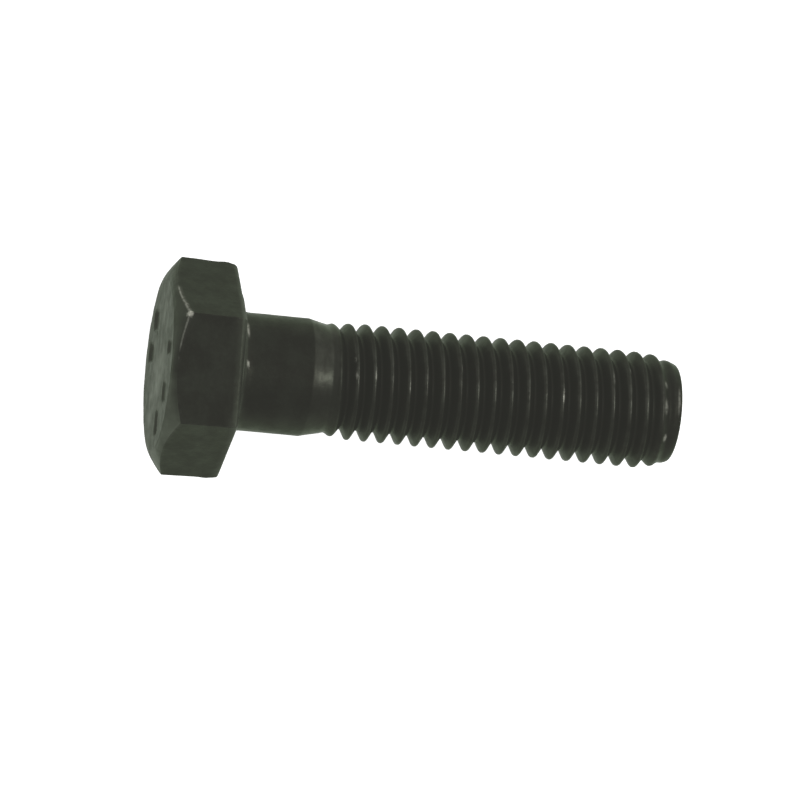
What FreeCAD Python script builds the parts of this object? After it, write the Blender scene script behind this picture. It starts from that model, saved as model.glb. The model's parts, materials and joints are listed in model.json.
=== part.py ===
"""Hex bolt, M12 x 1.75, partly threaded, about 45 mm under the head.

The bolt is one piece of steel: a cold-formed head with a washer face, a plain shank and a
rolled right-hand thread. Its frame has the origin at the centre of the bearing face under the
head. +X runs along the shank to the tip, and +Z is square to one flat of the hexagon.
"""
import FreeCAD, Part
import os

import Sketcher

SIZES = [
    ("pitch", 1.75, "thread pitch, M12 coarse"),
    ("crestradius", 5.88, "outside radius of the thread"),
    ("blankradius", 5.43, "radius of the rolled blank, where ridge and groove are equally wide"),
    ("rootradius", 4.9, "radius at the bottom of the groove"),
    ("flankangle", 30, "slope of each side of the groove from square to the axis"),
    ("crestplace", 9.65, "where a crest crosses +Y, from the bearing face"),
    ("runoutturns", 1.25, "turns over which the groove goes down to its full depth"),
    ("overcut", 0.1, "how far a cutting profile stands outside the metal"),
    ("totallength", 45.45, "bearing face to tip"),
    ("shankradius", 5.93, "radius of the plain shank"),
    ("shankend", 7.2, "where the plain shank ends, from the bearing face"),
    ("neckplace", 9.3, "where the run-out cone is down to the blank's radius"),
    ("threadplace", 10.6, "where the thread has its full outside radius"),
    ("underhead", 0.8, "fillet between the bearing face and the shank"),
    ("tipradius", 4.7, "radius of the flat end at the tip"),
    ("taperlength", 2.4, "length of the tapered tip"),
    ("taperrounding", 3.0, "rounding where the taper meets the thread's outside"),
    ("acrossflats", 19.0, "width of the hexagon over two flats"),
    ("headheight", 7.4, "bearing face to the top of the head"),
    ("washerradius", 8.2, "outside radius of the washer face"),
    ("washerheight", 0.3, "height of the washer face"),
    ("crownradius", 8.6, "radius of the flat circle on top of the head"),
    ("crownangle", 30, "slope of the chamfer around the flat circle"),
    ("flatsrounding", 0.3, "rounding of the hexagon's edges on the bearing side"),
]

CORNER = "Sizes.acrossflats / 2 / cos(30)"
GROOVE_OUTSIDE = "(Sizes.crestradius + Sizes.overcut)"
GROOVE_MIDDLE = "(Sizes.crestplace + Sizes.pitch / 2)"
RUN_OUT_LENGTH = "(Sizes.runoutturns * Sizes.pitch)"
RUN_OUT_RISE = "(Sizes.crestradius + 2 * Sizes.overcut - Sizes.rootradius)"

HEXAGON_TURNS = range(0, 360, 60)
SAME_PLACE = 1e-4


def add_sheet(doc):
    """The spreadsheet that holds every driving size, in millimetres, degrees or turns."""
    sheet = doc.addObject("Spreadsheet::Sheet", "Sizes")
    for row, (alias, value, note) in enumerate(SIZES, start=1):
        sheet.set(f"A{row}", note)
        sheet.set(f"B{row}", str(value))
        sheet.setAlias(f"B{row}", alias)
    doc.recompute()
    return sheet


def new_sketch(body, name, role):
    """An empty sketch on one of the body's origin planes, such as XY_Plane."""
    support = next(part for part in body.Origin.OriginFeatures if part.Role == role)
    sketch = body.newObject("Sketcher::SketchObject", name)
    sketch.AttachmentSupport = [(support, "")]
    sketch.MapMode = "FlatFace"
    return sketch


def outline(sketch, corners):
    """Draws a closed outline of straight runs, each corner given as two expressions."""
    points = [
        FreeCAD.Vector(*(float(sketch.evalExpression(text)) for text in corner), 0)
        for corner in corners
    ]
    for number, point in enumerate(points):
        following = points[(number + 1) % len(points)]
        sketch.addGeometry(Part.LineSegment(point, following), False)
    for number in range(len(points)):
        following = (number + 1) % len(points)
        sketch.addConstraint(Sketcher.Constraint("Coincident", number, 2, following, 1))
    for number, (point, corner) in enumerate(zip(points, corners)):
        for kind, value, text in zip(("DistanceX", "DistanceY"), point, corner):
            index = sketch.addConstraint(Sketcher.Constraint(kind, -1, 1, number, 1, value))
            sketch.renameConstraint(index, f"{kind}{number}")
            sketch.setExpression(f"Constraints.{kind}{number}", text)


def circle_edge(feature, place, radius):
    """The name of the feature's edge that circles the axis at this place and radius."""
    for number, edge in enumerate(feature.Shape.Edges, start=1):
        curve = edge.Curve
        if not isinstance(curve, Part.Circle):
            continue
        if abs(curve.Center.x - place) < SAME_PLACE and abs(curve.Radius - radius) < SAME_PLACE:
            return f"Edge{number}"
    raise RuntimeError(f"{feature.Name} has no edge around the axis at {place}")


def edges_at(feature, place):
    """The names of the feature's edges that lie in the plane at this place on the axis."""
    return [
        f"Edge{number}"
        for number, edge in enumerate(feature.Shape.Edges, start=1)
        if all(abs(vertex.X - place) < SAME_PLACE for vertex in edge.Vertexes)
    ]


def add_fillet(body, name, base, edges, size):
    """A fillet on some edges of the last feature, as large as the sheet's size of this name."""
    fillet = body.newObject("PartDesign::Fillet", name)
    fillet.Base = (base, edges)
    fillet.setExpression("Radius", f"Sizes.{size}")
    body.Document.recompute()
    return fillet


def add_hexagon(body):
    """The six-sided block of the head, from its top down to the washer face."""
    sketch = new_sketch(body, "HexagonSketch", "YZ_Plane")
    sketch.setExpression("AttachmentOffset.Base.z", "-Sizes.headheight")
    outline(
        sketch,
        [(f"{CORNER} * cos({turn})", f"{CORNER} * sin({turn})") for turn in HEXAGON_TURNS],
    )
    pad = body.newObject("PartDesign::Pad", "Hexagon")
    pad.Profile = sketch
    pad.setExpression("Length", "Sizes.headheight - Sizes.washerheight")
    body.Document.recompute()
    return pad


def add_crown_chamfer(body):
    """The cone that trims the hexagon's corners around the flat circle on top of the head."""
    outside = f"({CORNER} + Sizes.overcut)"
    cone_end = f"({outside} - Sizes.crownradius) * tan(Sizes.crownangle) - Sizes.headheight"
    above = "-Sizes.headheight - Sizes.overcut"
    sketch = new_sketch(body, "CrownSketch", "XY_Plane")
    outline(
        sketch,
        [
            ("-Sizes.headheight", "Sizes.crownradius"),
            (cone_end, outside),
            (above, outside),
            (above, "Sizes.crownradius"),
        ],
    )
    groove = body.newObject("PartDesign::Groove", "CrownChamfer")
    groove.Profile = sketch
    groove.ReferenceAxis = (sketch, ["H_Axis"])
    body.Document.recompute()
    return groove


def add_shank(body):
    """The washer face, plain shank, run-out cone, thread blank and tapered tip, as one turning."""
    sketch = new_sketch(body, "ShankSketch", "XY_Plane")
    outline(
        sketch,
        [
            ("-Sizes.headheight / 2", "0"),
            ("-Sizes.headheight / 2", "Sizes.washerradius"),
            ("0", "Sizes.washerradius"),
            ("0", "Sizes.shankradius"),
            ("Sizes.shankend", "Sizes.shankradius"),
            ("Sizes.neckplace", "Sizes.blankradius"),
            ("Sizes.threadplace", "Sizes.crestradius"),
            ("Sizes.totallength - Sizes.taperlength", "Sizes.crestradius"),
            ("Sizes.totallength", "Sizes.tipradius"),
            ("Sizes.totallength", "0"),
        ],
    )
    turned = body.newObject("PartDesign::Revolution", "Shank")
    turned.Profile = sketch
    turned.ReferenceAxis = (sketch, ["H_Axis"])
    body.Document.recompute()
    return turned


def groove_sketch(body, name, middle, lift):
    """The thread groove's cross-section, centred at a place on the axis and lifted outwards."""
    outline_corners = []
    for height, sides in (("Sizes.rootradius", (-1, 1)), (GROOVE_OUTSIDE, (1, -1))):
        widening = f"({height} - Sizes.blankradius) * tan(Sizes.flankangle)"
        for side in sides:
            along = f"{middle} + {side} * (Sizes.pitch / 4 + {widening})"
            outline_corners.append((along, f"{height} + {lift}"))
    sketch = new_sketch(body, name, "XY_Plane")
    outline(sketch, outline_corners)
    return sketch


def add_helix(body, name, sketch, turns, angle):
    """A groove cut along a right-hand helix towards the tip, on a cylinder or a cone."""
    helix = body.newObject("PartDesign::SubtractiveHelix", name)
    helix.Profile = sketch
    helix.ReferenceAxis = (sketch, ["H_Axis"])
    helix.Mode = "pitch-turns-angle"
    helix.setExpression("Pitch", "Sizes.pitch")
    helix.setExpression("Turns", turns)
    helix.setExpression("Angle", angle)
    helix.LeftHanded = False
    helix.HasBeenEdited = True
    body.Document.recompute()
    return helix


def add_thread(body):
    """The thread: a run-out that dives into the blank, then a groove of full depth to the tip."""
    run_out = groove_sketch(
        body, "RunOutSketch", f"{GROOVE_MIDDLE} - {RUN_OUT_LENGTH}", RUN_OUT_RISE
    )
    add_helix(
        body, "RunOut", run_out, "Sizes.runoutturns", f"-atan({RUN_OUT_RISE} / {RUN_OUT_LENGTH})"
    )
    groove = groove_sketch(body, "GrooveSketch", GROOVE_MIDDLE, "0")
    turns = "(Sizes.totallength - Sizes.crestplace) / Sizes.pitch"
    return add_helix(body, "Thread", groove, turns, "0")


def add_bolt(doc, sheet):
    """The whole bolt as one body."""
    body = doc.addObject("PartDesign::Body", "Bolt")
    body.Label = "hex_bolt"
    hexagon = add_hexagon(body)
    flats = edges_at(hexagon, -sheet.washerheight)
    add_fillet(body, "FlatsRounding", hexagon, flats, "flatsrounding")
    add_crown_chamfer(body)
    shank = add_shank(body)
    corner = circle_edge(shank, 0, sheet.shankradius)
    underhead = add_fillet(body, "UnderheadFillet", shank, [corner], "underhead")
    taper = circle_edge(underhead, sheet.totallength - sheet.taperlength, sheet.crestradius)
    add_fillet(body, "TaperRounding", underhead, [taper], "taperrounding")
    add_thread(body)
    return body


def check(doc, body):
    """Stops the build if any object failed or the bolt isn't one valid solid."""
    for part in doc.Objects:
        if {"Invalid", "Error"} & set(part.State):
            raise RuntimeError(f"{part.Name} failed: {part.State}")
    shape = body.Shape
    if shape.isNull() or not shape.isValid() or len(shape.Solids) != 1:
        raise RuntimeError(f"{body.Label} is not one valid solid")
    steps = [part for part in body.Group if part.isDerivedFrom("PartDesign::Feature")]
    volumes = [part.Shape.Volume for part in steps]
    for step, before, after in zip(steps[1:], volumes, volumes[1:]):
        print(f"{step.Name}: {after - before:+.1f} mm3")
        if abs(after - before) < SAME_PLACE:
            raise RuntimeError(f"{step.Name} changed nothing")


def main():
    doc = FreeCAD.newDocument("HexBolt")
    sheet = add_sheet(doc)
    body = add_bolt(doc, sheet)
    check(doc, body)
    os.makedirs("parts", exist_ok=True)
    body.Shape.exportStep(f"parts/{body.Label}.step")
    print(f"{body.Label}: {body.Shape.Volume:.1f} mm3")


main()
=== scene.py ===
"""The looks of a black-finished M12 hex bolt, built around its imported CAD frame."""
import json
import math

import bmesh
import bpy
import numpy as np
from mathutils import Matrix, Vector, noise


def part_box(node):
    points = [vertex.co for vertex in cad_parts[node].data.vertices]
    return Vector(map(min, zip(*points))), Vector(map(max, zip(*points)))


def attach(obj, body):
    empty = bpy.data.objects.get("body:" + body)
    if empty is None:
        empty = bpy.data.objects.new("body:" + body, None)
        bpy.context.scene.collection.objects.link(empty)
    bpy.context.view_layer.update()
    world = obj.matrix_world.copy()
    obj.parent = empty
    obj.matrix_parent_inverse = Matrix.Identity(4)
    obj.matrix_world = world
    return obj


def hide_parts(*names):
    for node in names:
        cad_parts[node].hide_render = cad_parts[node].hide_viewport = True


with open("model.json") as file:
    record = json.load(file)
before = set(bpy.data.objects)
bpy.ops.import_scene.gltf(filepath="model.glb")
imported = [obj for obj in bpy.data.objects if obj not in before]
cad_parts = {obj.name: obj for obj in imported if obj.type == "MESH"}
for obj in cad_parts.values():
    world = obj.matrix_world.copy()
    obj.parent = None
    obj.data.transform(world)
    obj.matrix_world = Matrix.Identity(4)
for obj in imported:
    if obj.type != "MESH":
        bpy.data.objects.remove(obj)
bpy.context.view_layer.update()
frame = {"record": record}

MM = 0.001
TURN = 2 * math.pi
# Angle between two corners of the hexagon.
SIXTH = TURN / 6

# Sizes in millimetres. What the frame holds is read from it.
low_corner, high_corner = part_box("hex_bolt")
mounts = {mount["name"]: mount for mount in frame["record"]["mounts"]}
HEAD_TOP = low_corner[0] / MM
TIP = high_corner[0] / MM
HALF_FLATS = high_corner[2] / MM
SHANK_RADIUS = mounts["shank"]["dims"]["r_mm"]
# Places nearer than this are the same one, and what keeps a division from zero.
SAME_PLACE = 0.01
NOT_ZERO = 1e-9
NOT_ZERO_SQUARE = 1e-6


def smooth_min(first, second, width):
    """The lower of two values, with the crossing rounded over this width."""
    share = np.clip(0.5 + 0.5 * (second - first) / width, 0, 1)
    return second + (first - second) * share - width * share * (1 - share)


def smooth_max(first, second, width):
    """The higher of two values, with the crossing rounded over this width."""
    return -smooth_min(-first, -second, width)


class Skin:
    """One closed surface, grown loop by loop from the top of the head to the tip."""

    def __init__(self):
        self.points = []
        self.faces = []

    def loop(self, places, radii, angles):
        """Adds a loop of points around the axis and returns their numbers with their angles."""
        places = np.broadcast_to(places, angles.shape)
        radii = np.broadcast_to(radii, angles.shape)
        first = len(self.points)
        self.points.extend(
            zip(places.tolist(), (radii * np.cos(angles)).tolist(), (radii * np.sin(angles)).tolist())
        )
        return list(range(first, first + len(angles))), angles.tolist()

    def join(self, before, after):
        """Quads between two loops that have the same angles."""
        near, far = before[0], after[0]
        for this in range(len(near)):
            following = (this + 1) % len(near)
            self.faces.append((near[this], near[following], far[following], far[this]))

    def knit(self, before, after):
        """Triangles between two loops whose angles differ."""
        # Both loops close on their first point, a turn on, and the look ahead goes one further.
        near, near_angles = before[0] + before[0][:1], before[1] + [before[1][0] + TURN] * 2
        far, far_angles = after[0] + after[0][:1], after[1] + [after[1][0] + TURN] * 2
        at_near = at_far = 0
        while at_near < len(before[0]) or at_far < len(after[0]):
            near_is_next = near_angles[at_near + 1] <= far_angles[at_far + 1]
            if at_far >= len(after[0]) or (at_near < len(before[0]) and near_is_next):
                self.faces.append((near[at_near], near[at_near + 1], far[at_far]))
                at_near += 1
            else:
                self.faces.append((near[at_near], far[at_far + 1], far[at_far]))
                at_far += 1

    def cap(self, place, ring, outward):
        """A fan from a point on the axis to a loop."""
        centre = len(self.points)
        self.points.append((place, 0.0, 0.0))
        loop = ring[0]
        for this in range(len(loop)):
            pair = loop[this], loop[(this + 1) % len(loop)]
            self.faces.append((centre, *pair) if outward > 0 else (centre, *pair[::-1]))


# ---------------------------------------------------------------- head

CROWN_RADIUS = 8.62
CROWN_SLOPE = math.tan(math.radians(30))
# How far the chamfer bulges at its middle, and the direction square to it: back along the
# axis and outwards.
CROWN_SWELL = 0.12
CHAMFER_NORMAL = (0.87, 0.5)
WASHER_RADIUS = 8.2
WASHER_HEIGHT = 0.3

# The flats lean in towards the bearing side: a little inside the CAD's at this place, and how
# much further with each millimetre.
FLATS_INSET = 0.008
DRAFT_PLACE = -6.9
DRAFT = 0.030
# The corners swell near the bearing side: how far, where, and how far it spreads along the
# axis and around it.
CORNER_SWELL = 0.075
SWELL_PLACE = -1.55
SWELL_LENGTH = 0.55
SWELL_WIDTH = math.radians(5)
# About where the chamfer ends, to take the width over flats there.
CHAMFER_END = -6.3

# Roundings: the corners, the rim of the top face, the chamfer's edge and the washer's edges.
CORNER_ROUNDING = 0.05
CROWN_ROUNDING = 0.35
SHOULDER_ROUNDING = 0.14
WASHER_ROOT_ROUNDING = 0.06
WASHER_ROUNDING = 0.12
# The bearing side's edge is rounder towards one angle, and a little at the corners.
UNDER_ROUNDING = 0.28
ROUNDER_ANGLE = math.radians(35)
ROUNDER_BY = 0.32
ROUNDER_AT_CORNERS = 0.06
CORNER_WIDTH = math.radians(7)

# Where the mesh has its loops: degrees from a corner, millimetres from the axis, and shares
# of the way down the chamfer and the flats.
NEAR_CORNER = [0, 0.2, 0.4, 0.6, 0.85, 1.2, 1.8, 2.8, 4, 5.5, 7, 8.5]
ALONG_FLAT = list(np.arange(10, 30.5, 10 / 7))
TOP_LOOPS = list(np.arange(0.6, 4.2, 0.6)) + list(np.arange(4.3, 8.2, 0.14))
CHAMFER_LOOPS = (0.3, 0.45, 0.6, 0.75, 0.88)
FLAT_LOOPS = (0.04, 0.12, 0.25, 0.38, 0.5, 0.6, 0.68, 0.76, 0.84, 0.92)
# The flats' first loop is this far from the chamfer's edge.
FLAT_MARGIN = 0.15
BEARING_LOOP = 7.8
# Points that only give a run its direction: on the top face, on the flats and on the bearing face.
TOP_FACE_RADIUS = 8.2
ABOVE_UNDER = -2.0
BEARING_RADIUS = 7


def head_angles():
    """Angles around the head: even steps, with finer ones at the hexagon's six corners."""
    half = NEAR_CORNER + ALONG_FLAT
    sector = [-step for step in half[:0:-1]] + half[:-1]
    angles = [math.radians(corner + step) % TURN for corner in range(0, 360, 60) for step in sector]
    return np.sort(np.array(angles))


def from_corner(angles):
    """Angle to the nearest corner of the hexagon, in radians."""
    return (angles + SIXTH / 2) % SIXTH - SIXTH / 2


def hexagon(angles, apothem):
    """Distance from the axis to a hexagon with slightly rounded corners."""
    off = np.abs(from_corner(angles))
    centre = (apothem - CORNER_ROUNDING) / math.cos(SIXTH / 2)
    flat = apothem / np.cos(SIXTH / 2 - off)
    inside = np.maximum(CORNER_ROUNDING**2 - (centre * np.sin(off)) ** 2, 0)
    arc = centre * np.cos(off) + np.sqrt(inside)
    tangent = np.arctan((apothem - CORNER_ROUNDING) * math.tan(SIXTH / 2) / apothem)
    return np.where(SIXTH / 2 - off <= tangent, flat, arc)


def apothem_at(places, angles):
    """Half the width over flats: a slight draft, with the corners swollen near the bearing side."""
    drafted = HALF_FLATS - FLATS_INSET - DRAFT * (places - DRAFT_PLACE)
    at_corner = np.exp(-((from_corner(angles) / SWELL_WIDTH) ** 2))
    return drafted + CORNER_SWELL * at_corner * np.exp(-(((places - SWELL_PLACE) / SWELL_LENGTH) ** 2))


def shoulder_at(angles):
    """Where the chamfer around the top of the head meets the flats, along the axis."""
    side = hexagon(angles, apothem_at(CHAMFER_END, angles))
    return HEAD_TOP + (side - CROWN_RADIUS) * CROWN_SLOPE


def unit(start, end):
    """Directions of length 1 from one set of (places, radii) arrays to another."""
    along = np.stack([end[0] - start[0], end[1] - start[1]])
    return along / np.linalg.norm(along, axis=0)


def rounded(start, corner, end, radius, steps):
    """Points of an arc that rounds a corner between two runs, all (places, radii) arrays."""
    back, onward = unit(corner, start), unit(corner, end)
    opening = np.arccos(np.clip((back * onward).sum(0), -1, 1))
    reach = radius / np.tan(opening / 2)
    bisector = back + onward
    bisector /= np.linalg.norm(bisector, axis=0)
    centre = np.stack(corner) + bisector * radius / np.sin(opening / 2)
    first = np.stack(corner) + back * reach - centre
    last = np.stack(corner) + onward * reach - centre
    sweep = math.pi - opening
    points = []
    for step in np.linspace(0, 1, steps):
        share_first = np.sin((1 - step) * sweep) / np.sin(sweep)
        share_last = np.sin(step * sweep) / np.sin(sweep)
        points.append(centre + first * share_first + last * share_last)
    return [(point[0], point[1]) for point in points]


def head_path(angles):
    """The loops of the head from its top face to its bearing face, as (places, radii) arrays."""
    zero = np.zeros_like(angles)
    top_face = (zero + HEAD_TOP, zero + TOP_FACE_RADIUS)
    crown = (zero + HEAD_TOP, zero + CROWN_RADIUS)
    shoulder_place = shoulder_at(angles)
    shoulder = (shoulder_place, hexagon(angles, apothem_at(shoulder_place, angles)))
    under = (zero - WASHER_HEIGHT, hexagon(angles, apothem_at(zero - WASHER_HEIGHT, angles)))
    above_under = (zero + ABOVE_UNDER, under[1])
    washer_root = (zero - WASHER_HEIGHT, zero + WASHER_RADIUS)
    washer_edge = (zero, zero + WASHER_RADIUS)
    bearing_face = (zero, zero + BEARING_RADIUS)

    path = [(zero + HEAD_TOP, zero + radius) for radius in TOP_LOOPS]
    path += rounded(top_face, crown, shoulder, CROWN_ROUNDING, 5)
    for share in CHAMFER_LOOPS:
        swell = CROWN_SWELL * 4 * share * (1 - share)
        place = crown[0] + (shoulder[0] - crown[0]) * share - swell * CHAMFER_NORMAL[0]
        path.append((place, crown[1] + (shoulder[1] - crown[1]) * share + swell * CHAMFER_NORMAL[1]))
    path += rounded(crown, shoulder, under, SHOULDER_ROUNDING, 4)

    at_corner = np.exp(-((from_corner(angles) / CORNER_WIDTH) ** 2))
    rounder = np.maximum(np.cos(angles - ROUNDER_ANGLE), 0)
    under_rounding = UNDER_ROUNDING + ROUNDER_BY * rounder + ROUNDER_AT_CORNERS * at_corner
    flat_start = shoulder[0] + FLAT_MARGIN
    flat_end = -WASHER_HEIGHT - under_rounding
    for share in FLAT_LOOPS:
        place = flat_start + (flat_end - flat_start) * share
        path.append((place, hexagon(angles, apothem_at(place, angles))))
    path += rounded(above_under, under, washer_root, under_rounding, 7)
    path.append(tuple(0.5 * (washer_root[n] + path[-1][n]) for n in (0, 1)))
    path += rounded(under, washer_root, washer_edge, WASHER_ROOT_ROUNDING, 3)
    path += rounded(washer_root, washer_edge, bearing_face, WASHER_ROUNDING, 4)
    path.append((zero, zero + BEARING_LOOP))
    return path


def grow_head(skin):
    """The head, from the centre of its top face to the washer face."""
    angles = head_angles()
    rings = [skin.loop(places, radii, angles) for places, radii in head_path(angles)]
    skin.cap(HEAD_TOP, rings[0], -1)
    for before, after in zip(rings, rings[1:]):
        skin.join(before, after)
    return rings[-1]


# ---------------------------------------------------------------- shank and thread

COLUMNS = 144
FILLET_RISE = 0.9
FILLET_LENGTH = 1.35
# The plain shank ends in a soft edge, and a cone narrows from there: places, then radii.
SHANK_END = 7.2
EDGE_SOFTNESS = 0.1
NECK = (7.3, 9.35)
NECK_RADII = (SHANK_RADIUS, 5.47)
# Where the shank's smooth surface is joined to the helical one, and that one to the tip.
BLANK_START = 8.3
GROOVE_END = TIP - 0.32

PITCH = 1.75
CREST_RADIUS = 5.88
ROOT_RADIUS = 4.87
# One place where a crest crosses +Y.
CREST_PLACE = 13.15
FLANK_ANGLE = math.radians(30)
# Rounding of crest and root, as a share of the groove's depth.
RIDGE_ROUNDING = 0.16
# Where the ridge first rises out of the run-out cone.
THREAD_START = 9.2
# Crest and root along the thread: place on the axis, radius.
CREST_LINE = ((THREAD_START, 5.5), (9.75, 5.64), (10.5, 5.66), (11.4, 5.78), (12.3, CREST_RADIUS))
ROOT_LINE = (
    (THREAD_START, 5.5),
    (10.0, 5.28),
    (10.6, 5.1),
    (11.3, ROOT_RADIUS),
    (38, ROOT_RADIUS + 0.03),
    (41, 5.0),
    (43, 5.08),
    (44, 5.14),
)
# The cone that narrows the tip: its radius at the end, its slope, how gently crest and root
# meet it, and how far the root stays inside it.
TAPER_RADIUS = 4.94
TAPER_SLOPE = 0.375
CREST_BLEND = 0.5
ROOT_BLEND = 0.08
ROOT_INSET = 0.01
# The rounded tip: place from its end, radius.
TIP_PROFILE = (
    (-0.26, 5.03),
    (-0.18, 4.99),
    (-0.12, 4.95),
    (-0.06, 4.88),
    (-0.02, 4.79),
    (0.0, 4.66),
    (0.0, 4.2),
    (0.0, 3.6),
    (0.0, 2.8),
    (0.0, 1.9),
    (0.0, 1.0),
)

# Where the mesh has its loops: radii on the bearing face, places on the shank, and shares of a
# pitch from a crest.
BEARING_LOOPS = (7.5, 7.1)
FILLET_LOOPS = 9
SHANK_LOOPS = (1.6, 2.2, 2.9, 3.6, 4.3, 5.0, 5.7, 6.4, 6.95, 7.1, 7.2, 7.3, 7.5, 7.85)
RIDGE_LOOPS = (-0.42, -0.37, -0.31, -0.25, -0.19, -0.14, -0.1, -0.05, 0, 0.05, 0.1, 0.14, 0.19,
               0.25, 0.31, 0.37, 0.42, 0.46, 0.5, 0.54)
# Points nearer than this to a cut count as on it.
CUT_TOLERANCE = 1e-5


def groove_shape(phase):
    """Height of the thread's ridge from 0 at the root to 1 at the crest, phase 0 at the crest."""
    off = np.abs((phase + 0.5) % 1 - 0.5)
    depth = CREST_RADIUS - ROOT_RADIUS
    flank = depth * math.tan(FLANK_ANGLE) / PITCH
    rise = 0.5 - (off - 0.25) / flank
    return smooth_min(smooth_max(rise, 0, RIDGE_ROUNDING), 1, RIDGE_ROUNDING)


def taper(places):
    """Radius of the cone that narrows the thread at the tip."""
    return TAPER_RADIUS + TAPER_SLOPE * (TIP - places)


def thread_surface(places, phase):
    """Radius of the threaded part at a place on the axis and a phase of the pitch."""
    neck = np.interp(places, NECK, NECK_RADII)
    crest = np.interp(places, *zip(*CREST_LINE))
    root = np.interp(places, *zip(*ROOT_LINE))
    crest = np.where(places < THREAD_START, neck, crest)
    root = np.where(places < THREAD_START, neck, root)
    tip = taper(places)
    crest = smooth_min(crest, tip, CREST_BLEND)
    root = smooth_min(root, tip - ROOT_INSET, ROOT_BLEND)
    return root + (crest - root) * groove_shape(phase)


def grow_shank(skin, washer_face):
    """The washer face, underhead fillet and plain shank, ending on the run-out cone."""
    angles = np.arange(COLUMNS) * TURN / COLUMNS
    rings = [skin.loop(0.0, radius, angles) for radius in BEARING_LOOPS]
    for turn in np.linspace(0, TURN / 4, FILLET_LOOPS):
        place = FILLET_LENGTH * (1 - math.cos(turn))
        rings.append(skin.loop(place, SHANK_RADIUS + FILLET_RISE * (1 - math.sin(turn)), angles))
    for place in SHANK_LOOPS:
        past_edge = 0.5 * (1 + math.tanh((place - SHANK_END) / EDGE_SOFTNESS))
        narrowed = np.interp(place, NECK, NECK_RADII) - SHANK_RADIUS
        rings.append(skin.loop(place, SHANK_RADIUS + narrowed * past_edge, angles))
    skin.knit(washer_face, rings[0])
    for before, after in zip(rings, rings[1:]):
        skin.join(before, after)
    return rings[-1]


def helix_band():
    """The threaded surface as a band that follows the helix, cut square at both ends."""
    first = math.floor((BLANK_START - CREST_PLACE) / PITCH) - 2
    last = math.ceil((TIP - CREST_PLACE) / PITCH) + 1
    starts = np.array([turn + phase for turn in range(first, last) for phase in RIDGE_LOOPS])
    columns = np.arange(COLUMNS) / COLUMNS
    places = CREST_PLACE + PITCH * (starts[:, None] + columns[None, :])
    phase = np.broadcast_to(starts[:, None], places.shape)
    radii = thread_surface(places, phase)
    band = bmesh.new()
    rows = [
        [
            band.verts.new((place, radius * math.cos(angle), radius * math.sin(angle)))
            for place, radius, angle in zip(row_places, row_radii, columns * TURN)
        ]
        for row_places, row_radii in zip(places, radii)
    ]
    # One turn on, a row ends where the row of the next turn begins.
    step = len(RIDGE_LOOPS)
    for row in range(len(rows) - 1):
        for column in range(COLUMNS):
            if column + 1 < COLUMNS:
                ends = rows[row][column + 1], rows[row + 1][column + 1]
            elif row + 1 + step < len(rows):
                ends = rows[row + step][0], rows[row + 1 + step][0]
            else:
                continue
            band.faces.new((rows[row][column], *ends, rows[row + 1][column]))
    for place, side in ((BLANK_START, -1), (GROOVE_END, 1)):
        bmesh.ops.bisect_plane(
            band,
            geom=band.verts[:] + band.edges[:] + band.faces[:],
            dist=CUT_TOLERANCE,
            plane_co=(place, 0, 0),
            plane_no=(side, 0, 0),
            clear_outer=True,
        )
    return band


def grow_thread(skin, shank_end):
    """The threaded band, the tapered tip and its end face."""
    band = helix_band()
    band.verts.index_update()
    first = len(skin.points)
    skin.points.extend(tuple(vert.co) for vert in band.verts)
    skin.faces.extend(tuple(first + vert.index for vert in face.verts) for face in band.faces)
    ends = {}
    for vert in band.verts:
        if not vert.is_boundary:
            continue
        side = 0 if vert.co.x < (BLANK_START + GROOVE_END) / 2 else 1
        ends.setdefault(side, []).append((math.atan2(vert.co.z, vert.co.y) % TURN, first + vert.index))
    band.free()
    loops = []
    for side in (0, 1):
        ordered = sorted(ends[side])
        loops.append(([number for _, number in ordered], [turn for turn, _ in ordered]))
    skin.knit(shank_end, loops[0])

    angles = np.arange(COLUMNS) * TURN / COLUMNS
    rings = [skin.loop(TIP + place, radius, angles) for place, radius in TIP_PROFILE]
    skin.knit(loops[1], rings[0])
    for before, after in zip(rings, rings[1:]):
        skin.join(before, after)
    skin.cap(TIP, rings[-1], 1)


# ---------------------------------------------------------------- dents and wear

# Plain oval dents on top of the head: +Y, +Z, half size along each, depth in millimetres.
DENTS = (
    (4.35, -3.7, 0.95, 1.4, 0.28),
    (1.05, -5.4, 0.90, 1.3, 0.28),
    (1.85, 6.2, 0.62, 1.15, 0.28),
    (-2.60, 5.5, 0.95, 1.2, 0.20),
    (-5.75, 2.0, 1.20, 0.8, 0.26),
)
DENT_CORNER = 0.5
DENT_SIDE = 0.4
# The film on top of the head, and where it is thicker: +Y, +Z, reach, how much thicker.
TOP_FILM = 0.12
PATCH_SOFTNESS = 1.3
PALE_PATCHES = (
    (-1.9, -0.6, 2.7, 0.42),
    (5.2, 1.6, 1.4, 0.30),
    (0.3, 2.8, 1.6, 0.30),
    (-4.8, -2.8, 1.7, 0.35),
)

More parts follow.
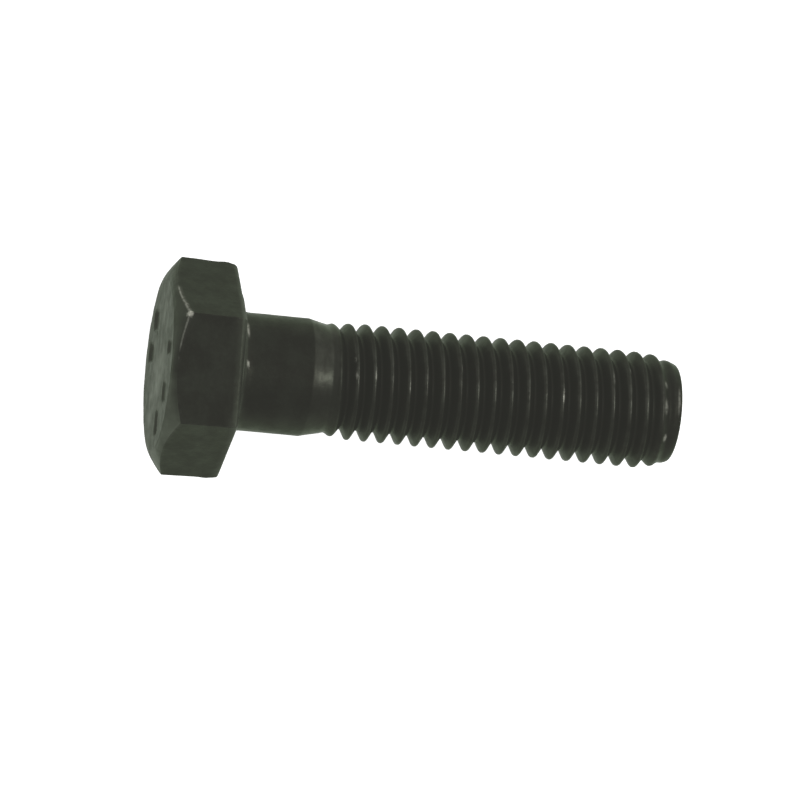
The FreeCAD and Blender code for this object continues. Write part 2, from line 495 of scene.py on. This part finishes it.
# Bare metal: place, radius and angle around the axis, how far the spot spreads, how many
# times further it spreads around the axis, and how bare it is.
BARE_SPOTS = (
    (-6.20, 10.85, 60.4, 0.30, 1.0, 1.0),
    (-6.45, 10.25, 51, 0.14, 1.0, 0.7),
    (-6.90, 9.62, 84, 0.11, 1.0, 0.9),
    (0.60, 6.1, 45, 0.13, 6.0, 0.4),
    (0.64, 6.1, 81, 0.14, 2.2, 0.4),
    (11.40, 5.75, 66, 0.20, 1.0, 0.45),
    (11.65, 5.75, 82, 0.16, 1.8, 0.4),
    (13.75, 5.8, 79, 0.20, 3.0, 0.35),
    (17.25, 5.8, 88, 0.16, 4.0, 0.14),
    (19.00, 5.8, 74, 0.16, 5.0, 0.20),
    (22.50, 5.8, 64, 0.16, 3.0, 0.25),
    (33.00, 5.8, 82, 0.20, 3.5, 0.4),
    (38.20, 5.8, 58, 0.20, 3.5, 0.25),
    (40.00, 5.8, 49, 0.20, 1.4, 0.5),
    (43.60, 5.35, 59, 0.20, 1.6, 0.4),
    (43.55, 5.35, 84, 0.28, 2.5, 0.3),
    (43.95, 5.3, 119, 0.22, 1.6, 0.3),
    (45.00, 4.95, 76, 0.18, 8.0, 0.25),
)
# Rubbed along the chamfer's edge: first and last angle, how far it spreads, how bare it is.
RUBBED_EDGE = (math.radians(34), math.radians(79), 0.07, 0.25)
RUBBED_EDGE_SOFTNESS = 0.1

# The head sits a little off the shank's line: place, how far towards +Y the bolt strays there.
LEAN = ((-0.6, -0.035), (0.9, 0.07), (10, 0.07), (26, 0.03), (TIP, -0.06))
# The surface's shallow waves: bumps per millimetre, the fine ones' share, their depth around
# the axis and on top of the head, and the radius below which they fade out.
BROAD_WAVES = 0.55
FINE_WAVES = 1.7
FINE_SHARE = 0.4
WAVE_DEPTH = 0.022
TOP_WAVE_DEPTH = 0.03
WAVE_RADIUS = 6
# On top of the head the waves only go in, from this one on, and end this far down.
LOWEST_WAVE = -0.5
TOP_WAVE_REACH = 0.3

# Wear and a painted highlight are strongest around this angle, the side towards the lamp, and fade by
# this much to each side.
WORN_AND_LIT_ANGLE = math.radians(78)
WORN_AND_LIT_WIDTH = math.radians(24)
# How much of the rub along edges, which is also a painted highlight, is kept on the head, on the
# thread away from the lit side, how much more on that side, and how much is lost on top of the head.
HEAD_RUB = 0.35
THREAD_RUB = 0.15
LIT_SIDE_RUB_AND_HIGHLIGHT = 0.35
CROWN_RUB_LOST = 0.8
# Top of the head, for the rub: how far past its rim, and how softly that ends.
CROWN_RUB_REACH = 0.4
CROWN_RUB_SOFTNESS = 0.3
# Rub and bare metal on the thread's crests on the side towards the lamp, painted as a highlight line
# along the crests.
CREST_RUB_AND_HIGHLIGHT = 0.8
CREST_BARE_AND_GLINT = 0.02
# How sharply an edge turns, per millimetre, where the rub starts, and how much more for all of it.
RUB_START = 0.8
RUB_RANGE = 2.2
# The thread's crests, for wear: from this place on, and this near to the outside.
CREST_START = 11
CREST_REACH = 0.3
CREST_SOFTNESS = 0.34
# Anything nearer the tip than this place isn't the chamfer or the top of the head.
CROWN_END = -5

# The film's limits: how softly they end, how far below the top face it reaches, how far over
# the chamfer's edge, and the dent depth from which it is left out, as painted shade in the dents.
FILM_SOFTNESS = 0.1
TOP_FILM_REACH = 0.35
CHAMFER_FILM_OVERLAP = 0.02
FULL_DENT_SHADE_DEPTH = 0.1
# Pale film on the chamfer, painted light as the floor would give its lower side: how much, and how
# much less towards one angle.
CHAMFER_PAINTED_LIGHT = 0.32
CHAMFER_PAINTED_LIGHT_FADE = 0.24
CHAMFER_DIMMEST_ANGLE = math.radians(40)
# Pale film around the bearing side's edge, painted light that lifts the shade there: its middle, half
# its width, how softly it ends, how strong it is inside this radius and on the head's rim outside it,
# the angle where it is strongest, and its least share elsewhere.
UNDER_PAINTED_LIGHT_PLACE = -0.15
UNDER_PAINTED_LIGHT_REACH = 0.65
UNDER_PAINTED_LIGHT_SOFTNESS = 0.3
UNDER_PAINTED_LIGHT_RADIUS = WASHER_RADIUS + 0.1
UNDER_PAINTED_LIGHT = 0.3
RIM_PAINTED_LIGHT = 0.19
UNDER_PAINTED_LIGHT_ANGLE = math.radians(70)
UNDER_PAINTED_LIGHT_LEAST = 0.3


def step_down(distance, edge, width):
    """1 inside the edge, 0 outside, with a smooth side."""
    share = np.clip((distance - edge + width / 2) / width, 0, 1)
    return 1 - share * share * (3 - 2 * share)


def dent_depth(points):
    """How deep the dents on top of the head are at each point."""
    y, z = points[:, 1], points[:, 2]
    depth = np.zeros(len(points))
    for at_y, at_z, half_y, half_z, deep in DENTS:
        over_y = np.maximum(np.abs(y - at_y) - half_y + DENT_CORNER, 0)
        over_z = np.maximum(np.abs(z - at_z) - half_z + DENT_CORNER, 0)
        reach = np.hypot(over_y, over_z)
        depth = np.maximum(depth, deep * step_down(reach, DENT_CORNER, DENT_SIDE))
    return depth * (points[:, 0] < HEAD_TOP + SAME_PLACE)


def top_film(points):
    """How thick the pale film on top of the head is."""
    film_and_light = np.full(len(points), TOP_FILM)
    for at_y, at_z, reach, thicker in PALE_PATCHES:
        away = np.hypot(points[:, 1] - at_y, points[:, 2] - at_z)
        film_and_light += thicker * step_down(away, reach, PATCH_SOFTNESS * reach)
    return film_and_light


def weather(points):
    """Points with the oval dents, shallow waves and the slight lean of a real bolt."""
    waves = np.array([
        noise.noise(Vector(point) * BROAD_WAVES) + FINE_SHARE * noise.noise(Vector(point) * FINE_WAVES)
        for point in points
    ])
    radius = np.hypot(points[:, 1], points[:, 2]) + NOT_ZERO
    inward = 1 - WAVE_DEPTH * np.minimum(radius, WAVE_RADIUS) / WAVE_RADIUS * waves / radius
    moved = points.copy()
    moved[:, 1] = points[:, 1] * inward + np.interp(points[:, 0], *zip(*LEAN))
    moved[:, 2] = points[:, 2] * inward
    on_head_top = np.clip((HEAD_TOP + TOP_WAVE_REACH - points[:, 0]) / TOP_WAVE_REACH, 0, 1)
    inwards_only = np.maximum(waves - LOWEST_WAVE, 0)
    moved[:, 0] += dent_depth(points) + TOP_WAVE_DEPTH * on_head_top * inwards_only
    return moved


def paint(mesh, name, values):
    """Stores one value for each point of the mesh, for the material to read."""
    mesh.attributes.new(name, "FLOAT", "POINT").data.foreach_set("value", values.astype("f"))


def sharpness(mesh, points):
    """How sharply the surface turns outwards at each point, in radians per millimetre."""
    count = len(mesh.vertices)
    normals = np.empty(count * 3)
    mesh.vertex_normals.foreach_get("vector", normals)
    normals = normals.reshape(-1, 3)
    ends = np.empty(len(mesh.edges) * 2, dtype=int)
    mesh.edges.foreach_get("vertices", ends)
    start, end = ends.reshape(-1, 2).T
    along = points[end] - points[start]
    bend = ((normals[end] - normals[start]) * along).sum(1) / ((along**2).sum(1) + NOT_ZERO_SQUARE)
    sharpest = np.zeros(count)
    np.maximum.at(sharpest, start, bend)
    np.maximum.at(sharpest, end, bend)
    return sharpest


def bare_metal(points, around, radius, from_edge):
    """How bare each point is in the spots and along the chamfer's rubbed edge."""
    bare = np.zeros(len(points))
    for place, at_radius, degrees, spread, stretch, strength in BARE_SPOTS:
        aside = (around - math.radians(degrees)) * at_radius / stretch
        away = np.sqrt((points[:, 0] - place) ** 2 + aside**2 + (radius - at_radius) ** 2)
        bare = np.maximum(bare, strength * step_down(away, spread, spread))
    start, end, spread, strength = RUBBED_EDGE
    off_middle = np.abs(around - (start + end) / 2)
    in_reach = step_down(off_middle, (end - start) / 2, RUBBED_EDGE_SOFTNESS)
    return np.maximum(bare, strength * in_reach * step_down(np.abs(from_edge), spread, spread))


def pale_film_and_light(points, around, radius, from_edge):
    """How thick the pale film is on top of the head, with the same colour as painted light on the
    chamfer and the bearing side's edge, and left out of the dents as painted shade.
    """
    on_top = step_down(points[:, 0] - HEAD_TOP, TOP_FILM_REACH, FILM_SOFTNESS)
    on_top = on_top * step_down(radius, CROWN_RADIUS, FILM_SOFTNESS)
    on_chamfer = step_down(from_edge, CHAMFER_FILM_OVERLAP, FILM_SOFTNESS)
    on_chamfer = on_chamfer * (points[:, 0] < CROWN_END)
    # Painted light on the chamfer, less towards one side.
    towards_dim = np.cos(around - CHAMFER_DIMMEST_ANGLE)
    film_and_light = on_chamfer * (CHAMFER_PAINTED_LIGHT - CHAMFER_PAINTED_LIGHT_FADE * towards_dim)
    # The film is left out of the dents so that they show dark: painted shade.
    unshaded_by_dents = 1 - np.minimum(dent_depth(points) / FULL_DENT_SHADE_DEPTH, 1)
    film_and_light = film_and_light * (1 - on_top) + top_film(points) * on_top * unshaded_by_dents
    # Painted light around the bearing side's edge, strongest towards one angle.
    off_middle = np.abs(points[:, 0] - UNDER_PAINTED_LIGHT_PLACE)
    under = step_down(off_middle, UNDER_PAINTED_LIGHT_REACH, UNDER_PAINTED_LIGHT_SOFTNESS)
    under = under * np.where(radius < UNDER_PAINTED_LIGHT_RADIUS, UNDER_PAINTED_LIGHT, RIM_PAINTED_LIGHT)
    return np.maximum(film_and_light, under * np.maximum(np.cos(around - UNDER_PAINTED_LIGHT_ANGLE), UNDER_PAINTED_LIGHT_LEAST))


def add_wear(mesh, points):
    """Point values that the material reads: rubbed edges, partly a painted highlight, bare metal, and
    the pale film, partly painted light and shade.
    """
    around = np.arctan2(points[:, 2], points[:, 1])
    radius = np.hypot(points[:, 1], points[:, 2])
    from_edge = points[:, 0] - shoulder_at(around)
    on_head = points[:, 0] < 0
    on_crown = step_down(radius, CROWN_RADIUS + CROWN_RUB_REACH, CROWN_RUB_SOFTNESS)
    on_crown = on_crown * (points[:, 0] < CROWN_END)
    on_crest = step_down(CREST_RADIUS - radius, CREST_REACH, CREST_SOFTNESS)
    on_crest = on_crest * (points[:, 0] > CREST_START)
    worn_and_lit_side = np.exp(-(((around - WORN_AND_LIT_ANGLE) / WORN_AND_LIT_WIDTH) ** 2))

    # The edges' rub is wear, and on the side towards the lamp also a painted highlight.
    kept = np.where(on_head, HEAD_RUB, THREAD_RUB + LIT_SIDE_RUB_AND_HIGHLIGHT * worn_and_lit_side)
    kept = kept * (1 - CROWN_RUB_LOST * on_crown)
    edge = kept * np.clip((sharpness(mesh, points) - RUB_START) / RUB_RANGE, 0, 1)
    # Crests on the side towards the lamp get a painted highlight line.
    paint(mesh, "edge", np.maximum(edge, CREST_RUB_AND_HIGHLIGHT * on_crest * worn_and_lit_side))
    bare = bare_metal(points, around, radius, from_edge)
    paint(mesh, "bare", np.maximum(bare, CREST_BARE_AND_GLINT * on_crest * worn_and_lit_side))
    # The pale film, with painted light on the chamfer and bearing edge and painted shade in the dents.
    paint(mesh, "film_and_light", pale_film_and_light(points, around, radius, from_edge))


def make_bolt():
    """The bolt's visible surface as one object, with the values that its material reads."""
    skin = Skin()
    washer_face = grow_head(skin)
    shank_end = grow_shank(skin, washer_face)
    grow_thread(skin, shank_end)
    points = weather(np.array(skin.points))
    mesh = bpy.data.meshes.new("bolt_surface")
    mesh.from_pydata((points * MM).tolist(), [], skin.faces)
    mesh.shade_smooth()
    add_wear(mesh, points)
    bolt = bpy.data.objects.new("bolt", mesh)
    bpy.context.scene.collection.objects.link(bolt)
    return bolt


# ---------------------------------------------------------------- material

# A Mix node's sockets for colours, which share their names with the ones for numbers.
FIRST_COLOUR, SECOND_COLOUR, MIXED_COLOUR = 6, 7, 2


class Nodes:
    """Short ways to add and link shader nodes."""

    def __init__(self, material):
        material.use_nodes = True
        self.tree = material.node_tree
        self.shader = self.tree.nodes["Principled BSDF"]
        place = self.tree.nodes.new("ShaderNodeTexCoord").outputs["Object"]
        scale = self.tree.nodes.new("ShaderNodeVectorMath")
        scale.operation = "SCALE"
        scale.inputs["Scale"].default_value = 1 / MM
        self.tree.links.new(place, scale.inputs[0])
        self.place = scale.outputs["Vector"]
        split = self.tree.nodes.new("ShaderNodeSeparateXYZ")
        self.tree.links.new(self.place, split.inputs[0])
        self.along = split.outputs["X"]
        self.up = split.outputs["Y"]

    def put(self, socket, value):
        """Links another node's output to a socket, or sets a plain value on it."""
        if isinstance(value, bpy.types.NodeSocket):
            self.tree.links.new(value, socket)
        else:
            socket.default_value = value

    def math(self, operation, *values):
        node = self.tree.nodes.new("ShaderNodeMath")
        node.operation = operation
        for socket, value in zip(node.inputs, values):
            self.put(socket, value)
        return node.outputs[0]

    def noise(self, scale, detail=3.0, roughness=0.55, stretch=(1, 1, 1)):
        """Noise with this many bumps per millimetre, drawn out along an axis by a low stretch."""
        mapping = self.tree.nodes.new("ShaderNodeMapping")
        mapping.inputs["Scale"].default_value = stretch
        self.tree.links.new(self.place, mapping.inputs["Vector"])
        node = self.tree.nodes.new("ShaderNodeTexNoise")
        node.inputs["Scale"].default_value = scale
        node.inputs["Detail"].default_value = detail
        node.inputs["Roughness"].default_value = roughness
        self.tree.links.new(mapping.outputs[0], node.inputs["Vector"])
        return node.outputs[0]

    def ramp(self, value, low, high, to_low=0.0, to_high=1.0):
        """A smooth step from to_low to to_high as the value goes from low to high."""
        node = self.tree.nodes.new("ShaderNodeMapRange")
        node.interpolation_type = "SMOOTHSTEP"
        for name, given in (("Value", value), ("From Min", low), ("From Max", high),
                            ("To Min", to_low), ("To Max", to_high)):
            self.put(node.inputs[name], given)
        return node.outputs[0]

    def band(self, start, end, soft):
        """1 between two places on the axis, 0 elsewhere."""
        rise = self.ramp(self.along, start - soft, start + soft)
        fall = self.ramp(self.along, end - soft, end + soft, 1.0, 0.0)
        return self.math("MULTIPLY", rise, fall)

    def mix(self, share, first, second):
        """A colour between two, all of the second where the share is 1."""
        node = self.tree.nodes.new("ShaderNodeMix")
        node.data_type = "RGBA"
        self.put(node.inputs["Factor"], share)
        self.put(node.inputs[FIRST_COLOUR], first)
        self.put(node.inputs[SECOND_COLOUR], second)
        return node.outputs[MIXED_COLOUR]

    def point_value(self, name):
        """A value painted on the mesh's points."""
        node = self.tree.nodes.new("ShaderNodeAttribute")
        node.attribute_name = name
        return node.outputs["Fac"]


# The oxide's own colour: how much broad clouds and fine speckles lighten it.
CLOUD_SHARE = 0.6
SPECKLE_SHARE = 0.3
# How much metal shows in chips on rubbed edges, and how strongly the film and its painted light take
# their colour.
CHIP_SHARE = 0.3
FILM_STRENGTH = 1.4
# Roughness: its range, how much the collar, rubbed edges and bare metal are smoother, and how
# much rougher the film is, up to a thickness that counts in full.
ROUGHNESS = (0.40, 0.52)
COLLAR_POLISH = 0.3
EDGE_POLISH = 0.14
BARE_POLISH = 0.12
FILM_ROUGHNESS = 0.7
FILM_FULL = 0.2
# The bumps: share of the fine grain, strength, and height in millimetres. The film evens them.
GRAIN_SHARE = 0.25
BUMP_STRENGTH = 0.35
BUMP_HEIGHT = 0.06
BUMP_UNDER_FILM = 0.35

# Places on the axis: the light collar at the run-out, and the part that has a groove.
COLLAR = (7.35, 9.9)
GROOVED = (10.2, 44.6)
# Painted shade at the bottom of the groove: full up to the first radius, none from the second.
DARK_GROOVE = (4.85, 5.35)
# The collar is rubbed on one side of the bolt: weak below the first +Y, full above the second.
COLLAR_SIDE = (-3.0, 0.5)

DARK_OXIDE = (0.0070, 0.0070, 0.0053, 1)
PALE_OXIDE = (0.0138, 0.0158, 0.0116, 1)
# Lighter oxide: rub on the collar, and on edges and crests also a painted highlight.
RUBBED_OXIDE_AND_HIGHLIGHT = (0.040, 0.042, 0.034, 1)
# Painted shade for the bottom of the thread's grooves.
GROOVE_SHADE = (0.0062, 0.0062, 0.0050, 1)
BARE_STEEL = (0.55, 0.55, 0.47, 1)
# The pale film's colour, also used as painted light on the chamfer and around the bearing side's edge.
SCALE_FILM_AND_LIGHT = (0.085, 0.105, 0.070, 1)
# Black oxide's reflection at a flat angle.
GLANCING_TINT = (0.64, 0.70, 0.61, 1)


def oxide_colour(nodes):
    """The oxide's own colour, with broad clouds and fine speckles."""
    cloud = nodes.ramp(nodes.noise(0.35, detail=4), 0.35, 0.65)
    speckle = nodes.ramp(nodes.noise(2.2, detail=5, roughness=0.65), 0.42, 0.68)
    cloud = nodes.math("MULTIPLY", cloud, CLOUD_SHARE)
    speckle = nodes.math("MULTIPLY", speckle, SPECKLE_SHARE)
    return nodes.mix(nodes.math("ADD", cloud, speckle), DARK_OXIDE, PALE_OXIDE)


def collar_rub(nodes):
    """How rubbed the light collar at the run-out is, in streaks around the bolt."""
    collar = nodes.band(*COLLAR, soft=0.1)
    side = nodes.ramp(nodes.up, *COLLAR_SIDE, to_low=0.25)
    collar = nodes.math("MULTIPLY", collar, side)
    streaks = nodes.noise(1.1, detail=3, roughness=0.6, stretch=(1, 0.4, 0.4))
    streaks = nodes.ramp(streaks, 0.3, 0.7, to_low=0.2, to_high=0.5)
    return nodes.math("MULTIPLY", collar, streaks)


def painted_groove_shade(nodes):
    """Where the thread gets painted shade: 1 at the bottom of its groove, 0 on its ridges and
    elsewhere.
    """
    radius = nodes.tree.nodes.new("ShaderNodeVectorMath")
    radius.operation = "LENGTH"
    across = nodes.tree.nodes.new("ShaderNodeVectorMath")
    across.operation = "MULTIPLY"
    across.inputs[1].default_value = (0, 1, 1)
    nodes.put(across.inputs[0], nodes.place)
    nodes.put(radius.inputs[0], across.outputs[0])
    deep = nodes.ramp(radius.outputs["Value"], *DARK_GROOVE, to_low=1.0, to_high=0.0)
    return nodes.math("MULTIPLY", deep, nodes.band(*GROOVED, soft=0.4))


def bare_share(nodes, edge):
    """Where metal shows: in chips along rubbed edges, and in the painted spots."""
    chips = nodes.ramp(nodes.noise(0.9, detail=3, roughness=0.6), 0.64, 0.74)
    chipped = nodes.math("MULTIPLY", nodes.ramp(edge, 0.5, 1.0), chips)
    broken = nodes.ramp(nodes.noise(2.6, detail=2, roughness=0.5), 0.3, 0.6, to_low=0.35)
    spots = nodes.math("MULTIPLY", nodes.point_value("bare"), broken)
    return nodes.math("MAXIMUM", nodes.math("MULTIPLY", chipped, CHIP_SHARE), spots)


def film_and_light_share(nodes):
    """How thick the pale film and its painted light are, in soft patches."""
    patches = nodes.noise(0.3, detail=2.5, roughness=0.45, stretch=(1, 1, 0.55))
    patches = nodes.ramp(patches, 0.34, 0.64, to_low=0.35)
    return nodes.math("MULTIPLY", nodes.point_value("film_and_light"), patches)


def surface_roughness(nodes, collar, edge, bare, film_and_light):
    """Mottled roughness: smoother where the steel is rubbed or bare, rougher under the film."""
    rough = nodes.noise(0.8, detail=4, roughness=0.6)
    rough = nodes.ramp(rough, 0.3, 0.7, *ROUGHNESS)
    for share, polish in ((collar, COLLAR_POLISH), (edge, EDGE_POLISH), (bare, BARE_POLISH)):
        rough = nodes.math("SUBTRACT", rough, nodes.math("MULTIPLY", share, polish))
    thickness = nodes.math("MINIMUM", film_and_light, FILM_FULL)
    return nodes.math("ADD", rough, nodes.math("MULTIPLY", thickness, FILM_ROUGHNESS))


def surface_bumps(nodes, film_and_light):
    """The normal of a finely uneven surface, which the film evens out."""
    grain = nodes.noise(7.0, detail=2, roughness=0.5)
    height = nodes.math("MULTIPLY", grain, GRAIN_SHARE)
    height = nodes.math("ADD", height, nodes.noise(1.4, detail=4, roughness=0.6))
    evened = nodes.ramp(film_and_light, 0, 0.15, to_low=1.0, to_high=BUMP_UNDER_FILM)
    bump = nodes.tree.nodes.new("ShaderNodeBump")
    bump.inputs["Strength"].default_value = BUMP_STRENGTH
    bump.inputs["Distance"].default_value = BUMP_HEIGHT * MM
    nodes.put(bump.inputs["Height"], nodes.math("MULTIPLY", height, evened))
    return bump.outputs["Normal"]


def black_steel():
    """Black oxide on steel: mottled, rubbed along edges and at the run-out, with painted highlight on
    edges, painted shade in the grooves, and filmed over, partly as painted light.
    """
    material = bpy.data.materials.new("black_steel")
    nodes = Nodes(material)
    collar = collar_rub(nodes)
    edge = nodes.point_value("edge")
    broken = nodes.ramp(nodes.noise(0.7, detail=4, roughness=0.65), 0.38, 0.62, to_high=0.7)
    bare = bare_share(nodes, edge)
    film_and_light = film_and_light_share(nodes)

    colour = oxide_colour(nodes)
    colour = nodes.mix(collar, colour, RUBBED_OXIDE_AND_HIGHLIGHT)
    # Painted shade at the bottom of the thread's grooves.
    colour = nodes.mix(painted_groove_shade(nodes), colour, GROOVE_SHADE)
    # Rubbed edges, partly a painted highlight.
    colour = nodes.mix(nodes.math("MULTIPLY", edge, broken), colour, RUBBED_OXIDE_AND_HIGHLIGHT)
    colour = nodes.mix(bare, colour, BARE_STEEL)
    # Pale film, and its colour as painted light on the chamfer and around the bearing side's edge.
    colour = nodes.mix(nodes.math("MULTIPLY", film_and_light, FILM_STRENGTH), colour, SCALE_FILM_AND_LIGHT)

    shader = nodes.shader
    shader.inputs["Specular Tint"].default_value = GLANCING_TINT
    nodes.put(shader.inputs["Base Color"], colour)
    nodes.put(shader.inputs["Metallic"], nodes.math("SUBTRACT", 1.0, film_and_light))
    nodes.put(shader.inputs["Roughness"], surface_roughness(nodes, collar, edge, bare, film_and_light))
    nodes.put(shader.inputs["Normal"], surface_bumps(nodes, film_and_light))
    return material


bolt = make_bolt()
bolt.data.materials.append(black_steel())
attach(bolt, "root")
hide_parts("hex_bolt")


# ---------------------------------------------------------------- stage

# The bolt rests on the head's rim and on a crest near the tip: place, distance from the axis.
HEAD_REST = (-0.6, 9.4)
TIP_REST = (43.5, 5.87)
REST_TILT = math.atan2(HEAD_REST[1] - TIP_REST[1], TIP_REST[0] - HEAD_REST[0])
# The floor passes just under the head's rim. Its size is in metres.
FLOOR_DEPTH = 9.42
FLOOR_SIZE = 4
FLOOR_GREY = (0.6, 0.6, 0.6, 1)
FLOOR_GLOW = 0.92
WHITE = (1, 1, 1, 1)
WORLD_STRENGTH = 0.6
# Soft lamps: name, place and size in metres, power in watts.
SOFTBOXES = (
    ("softbox_tip", Vector((0.24, 0.03, 0.33)), 0.13, 0.5),
    ("softbox_side", Vector((0.22, 0.26, 0.24)), 0.3, 0.28),
)
LAMP_AIM = Vector((0.012, 0, 0))
# How much light the haze adds to black.
BLACK_LIFT = Vector((0.0235, 0.0240, 0.0205))


def add_floor():
    """A pale floor at the slope that the resting bolt gives it in the bolt's own frame."""
    bpy.ops.mesh.primitive_plane_add(size=FLOOR_SIZE)
    floor = bpy.context.object
    floor.name = "floor"
    floor.rotation_euler = (0, -REST_TILT, 0)
    floor.location = (HEAD_REST[0] * MM, 0, -FLOOR_DEPTH * MM)
    material = bpy.data.materials.new("pale_floor")
    material.use_nodes = True
    shader = material.node_tree.nodes["Principled BSDF"]
    shader.inputs["Base Color"].default_value = FLOOR_GREY
    shader.inputs["Roughness"].default_value = 0.9
    shader.inputs["Emission Color"].default_value = WHITE
    shader.inputs["Emission Strength"].default_value = FLOOR_GLOW
    floor.data.materials.append(material)


def add_light():
    """An even white surround and two large soft lamps."""
    world = bpy.data.worlds.new("studio")
    bpy.context.scene.world = world
    world.use_nodes = True
    background = world.node_tree.nodes["Background"]
    background.inputs["Color"].default_value = WHITE
    background.inputs["Strength"].default_value = WORLD_STRENGTH
    for name, place, size, power in SOFTBOXES:
        data = bpy.data.lights.new(name, "AREA")
        data.shape = "SQUARE"
        data.size = size
        data.energy = power
        lamp = bpy.data.objects.new(name, data)
        lamp.location = place
        towards = LAMP_AIM - lamp.location
        lamp.rotation_euler = towards.to_track_quat("-Z", "Y").to_euler()
        bpy.context.scene.collection.objects.link(lamp)


# The camera, in millimetres in the bolt's frame.
CAMERA_PLACE = Vector((-81.853, 4.295, 490.086))
CAMERA_AIM = Vector((17.427, -1.304, -0.045))
CAMERA_UP = Vector((-0.0918, 0.9953, -0.0300))
CAMERA_LENS = 223.7


def add_camera():
    """The camera at the photograph's viewing angle."""
    data = bpy.data.cameras.new("camera")
    data.lens = CAMERA_LENS
    data.sensor_width = 36
    data.clip_start = 0.01
    camera = bpy.data.objects.new("camera", data)
    bpy.context.scene.collection.objects.link(camera)
    back = (CAMERA_PLACE - CAMERA_AIM).normalized()
    right = CAMERA_UP.cross(back).normalized()
    up = back.cross(right)
    turn = Matrix((right, up, back)).transposed().to_4x4()
    camera.matrix_world = Matrix.Translation(CAMERA_PLACE * MM) @ turn
    bpy.context.scene.camera = camera


def develop():
    """The camera's response: no contrast look, and the haze that a white surround gives."""
    view = bpy.context.scene.view_settings
    view.view_transform = "Standard"
    view.look = "None"
    view.use_curve_mapping = True
    view.curve_mapping.black_level = -BLACK_LIFT
    view.curve_mapping.update()


add_floor()
add_light()
add_camera()
develop()
